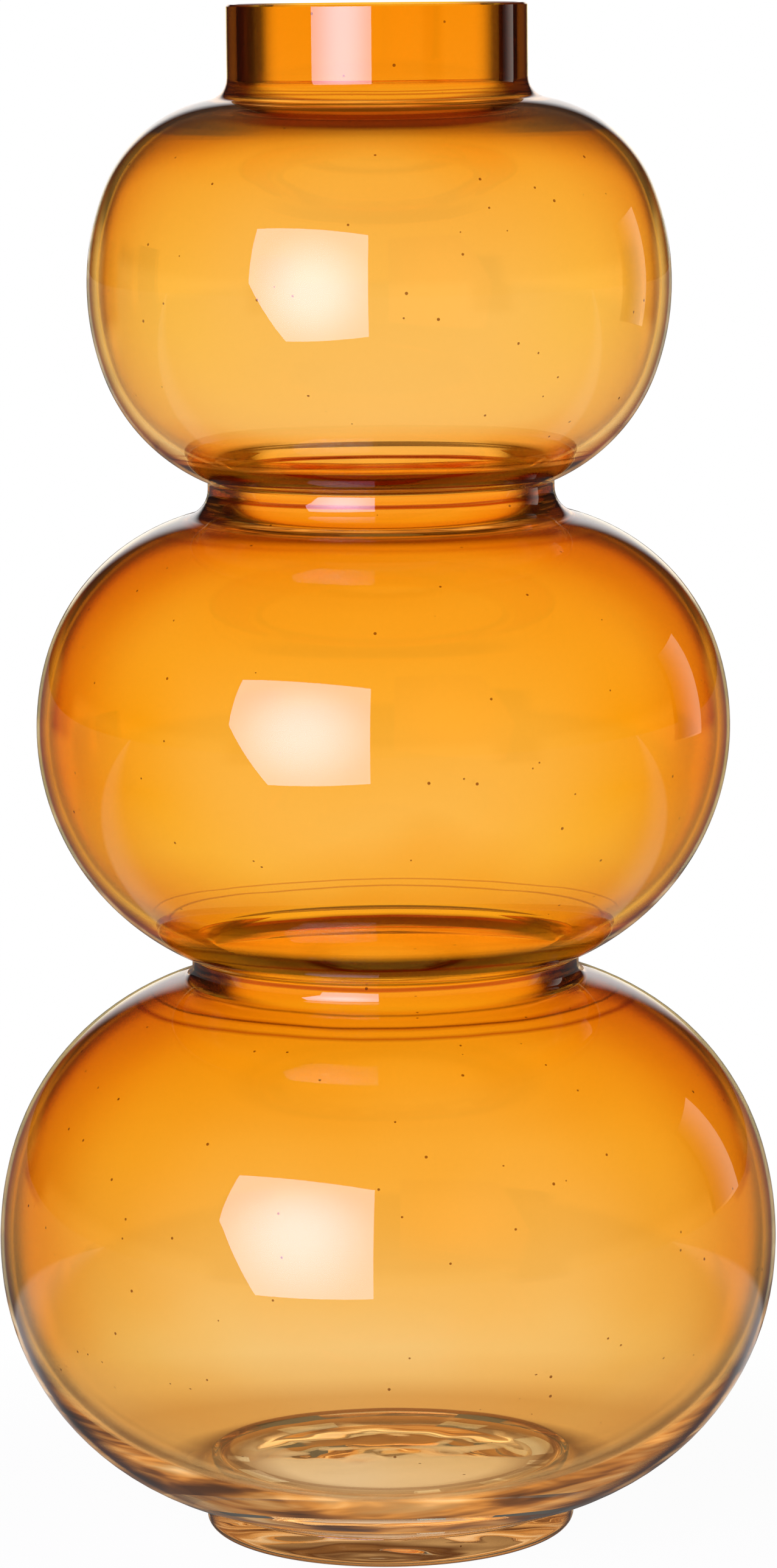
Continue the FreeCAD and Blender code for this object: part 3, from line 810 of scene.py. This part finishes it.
def make_floor():
    """A pale floor that glows of its own for the glass, and is plain paint for everything else."""
    bpy.ops.object.select_all(action="DESELECT")
    bpy.ops.mesh.primitive_circle_add(vertices=FLOOR_CORNERS, radius=FLOOR_RADIUS, fill_type="NGON")
    floor = bpy.context.object
    floor.name = "studio_floor"
    material = bare_material("pale_floor")
    tree = material.node_tree
    east, north, _ = parts_of(tree, tree.nodes.new("ShaderNodeTexCoord").outputs["Object"])
    lobe, reach = lobes(tree, east, north)
    seen, through_glass, mirrored = ray_kinds(tree)

    walls = pick(tree, lobe, GAP_GLOW, CLEAR_GLOW)
    clear = pick(tree, fade_in(tree, reach, *FLOOR_FAR), CLEAR_GLOW, walls)
    behind = product(tree, fade_in(tree, north, *NEAR_FLOOR_START),
                     fade_out(tree, north, *NEAR_FLOOR_END))
    reflected = pick(tree, behind, REFLECTED_FLOOR, REFLECTED_NEAR_FLOOR)
    strength = pick(tree, seen, pick(tree, through_glass, reflected, clear), 1.0)
    amber_light = colour_ramp(tree, calculate(tree, "DIVIDE", reach, SHADOW_REACH), SHADOW_STOPS)
    colour = blend_colours(tree, plain_colour(tree, WHITE), amber_light, through_glass)
    glow = tree.nodes.new("ShaderNodeEmission")
    tree.links.new(colour, glow.inputs["Color"])
    tree.links.new(strength, glow.inputs["Strength"])

    paint = node(tree, "ShaderNodeBsdfDiffuse", Color=FLOOR_PAINT)
    own = product(tree, seen, rescale(tree, reach, *SHADE_REACH, SHADE_NEAR, 1.0))
    own = calculate(tree, "ADD", own, calculate(tree, "ADD", through_glass, mirrored))
    mix = tree.nodes.new("ShaderNodeMixShader")
    tree.links.new(own, mix.inputs[0])
    tree.links.new(paint.outputs[0], mix.inputs[1])
    tree.links.new(glow.outputs[0], mix.inputs[2])
    put_out(tree, mix)
    floor.data.materials.append(material)


def make_world():
    """The room: white to the camera, four bright walls through the glass, and dark in its mirror."""
    world = bpy.data.worlds.new("studio")
    bpy.context.scene.world = world
    world.use_nodes = True
    tree = world.node_tree
    tree.nodes.clear()
    direction = tree.nodes.new("ShaderNodeTexCoord").outputs["Generated"]
    east, north, up = parts_of(tree, direction)
    lobe, _ = lobes(tree, east, north)
    walls = pick(tree, lobe, GAP_GLOW, CLEAR_GLOW)
    clear = pick(tree, fade_in(tree, up, SKY_START, SKY_END), walls, SKY_GLOW)
    toward = tree.nodes.new("ShaderNodeVectorMath")
    toward.operation = "DOT_PRODUCT"
    toward.inputs[1].default_value = BACK_DIRECTION
    tree.links.new(direction, toward.inputs[0])
    back = fade_in(tree, toward.outputs["Value"], *BACK_COSINES)
    reflected = pick(tree, back, REFLECTED_DARK, REFLECTED_BACK)
    seen, through_glass, _ = ray_kinds(tree)
    strength = pick(tree, seen, pick(tree, through_glass, reflected, clear), 1.0)
    glow = node(tree, "ShaderNodeBackground", Color=WHITE)
    tree.links.new(strength, glow.inputs["Strength"])
    put_out(tree, glow, "ShaderNodeOutputWorld")


def hang(panel, stand, material, colour, strength):
    """Stands a panel upright beside the vase, facing it, and lights it for the glass alone.

    It has full light for a reflection off the front, and little for the ones off the walls behind.
    """
    azimuth = math.radians(stand["azimuth"])
    distance = stand["distance"]
    panel.location = (distance * math.sin(azimuth), -distance * math.cos(azimuth), stand["height"])
    panel.rotation_euler = (math.radians(90), 0, azimuth)
    panel.scale = (*stand["sides"], 1.0)
    tree = material.node_tree
    path = tree.nodes.new("ShaderNodeLightPath")
    inside = calculate(tree, "GREATER_THAN", path.outputs["Transmission Depth"], 0.5)
    glow = node(tree, "ShaderNodeEmission", Color=colour)
    tree.links.new(product(tree, strength, pick(tree, inside, 1.0, GHOST_SHARE)), glow.inputs["Strength"])
    put_out(tree, glow)
    panel.data.materials.append(material)
    panel.visible_camera = False


def select_corners(panel, wanted):
    """Selects the corners of a panel whose place passes a test."""
    bpy.ops.mesh.select_all(action="DESELECT")
    bpy.ops.object.mode_set(mode="OBJECT")
    for vertex in panel.data.vertices:
        vertex.select = wanted(vertex.co.x, vertex.co.y)
    bpy.ops.object.mode_set(mode="EDIT")


def make_softbox():
    """The square window of light to the left of the camera, with its lower left corner cut off."""
    box = add_plane("softbox", 1.0)
    bpy.ops.object.mode_set(mode="EDIT")
    bpy.ops.mesh.select_mode(type="VERT")
    select_corners(box, lambda x, y: x < 0 and y < 0)
    bpy.ops.mesh.bevel(offset=CUT_SHARE, affect="VERTICES", segments=1)
    select_corners(box, lambda x, y: CUT_EDGE < x < 0 and y < CUT_EDGE)
    bpy.ops.transform.translate(value=(-CUT_SHIFT, 0, 0))
    select_corners(box, lambda x, y: x < CUT_EDGE and CUT_EDGE < y < 0)
    bpy.ops.transform.translate(value=(0, CUT_SHIFT, 0))
    bpy.ops.object.mode_set(mode="OBJECT")
    material = bare_material("softbox_cloth")
    tree = material.node_tree
    place = tree.nodes.new("ShaderNodeTexCoord").outputs["Object"]
    away = distance_in_sizes(tree, place, SOFTBOX_CENTRE, (1.0, 1.0, 1.0))
    strength = rescale(tree, away, *SOFTBOX_FALL, *SOFTBOX_GLOWS)
    hang(box, SOFTBOX, material, SOFTBOX_COLOUR, strength)


def make_side_strip():
    """A dim strip of light far round to the right, that shows near the bulbs' right edges."""
    strip = add_plane("side_strip", 1.0)
    material = bare_material("strip_cloth")
    tree = material.node_tree
    across, _, _ = parts_of(tree, tree.nodes.new("ShaderNodeTexCoord").outputs["Object"])
    strength = rescale(tree, across, *STRIP_RISE, *STRIP_GLOWS)
    hang(strip, STRIP, material, STRIP_COLOUR, strength)


def make_camera():
    """The photograph's camera."""
    data = bpy.data.cameras.new("camera")
    camera = bpy.data.objects.new("camera", data)
    bpy.context.scene.collection.objects.link(camera)
    data.lens = FOCAL_PIXELS / PHOTO_HEIGHT * SENSOR
    data.sensor_width = SENSOR
    data.clip_start = CLIP_START
    data.clip_end = CLIP_END
    turn_right = Matrix.Rotation(math.radians(CAMERA_YAW), 4, "Z")
    tilt = Matrix.Rotation(math.radians(90 - CAMERA_PITCH), 4, "X")
    roll = Matrix.Rotation(math.radians(-CAMERA_ROLL), 4, "Z")
    place = Matrix.Translation(Vector((0, -CAMERA_DISTANCE, CAMERA_HEIGHT)) * MM)
    camera.matrix_world = place @ turn_right @ tilt @ roll
    bpy.context.scene.camera = camera


make_vase()
make_floor()
make_world()
make_softbox()
make_side_strip()
make_camera()
bpy.context.scene.view_settings.view_transform = "Standard"
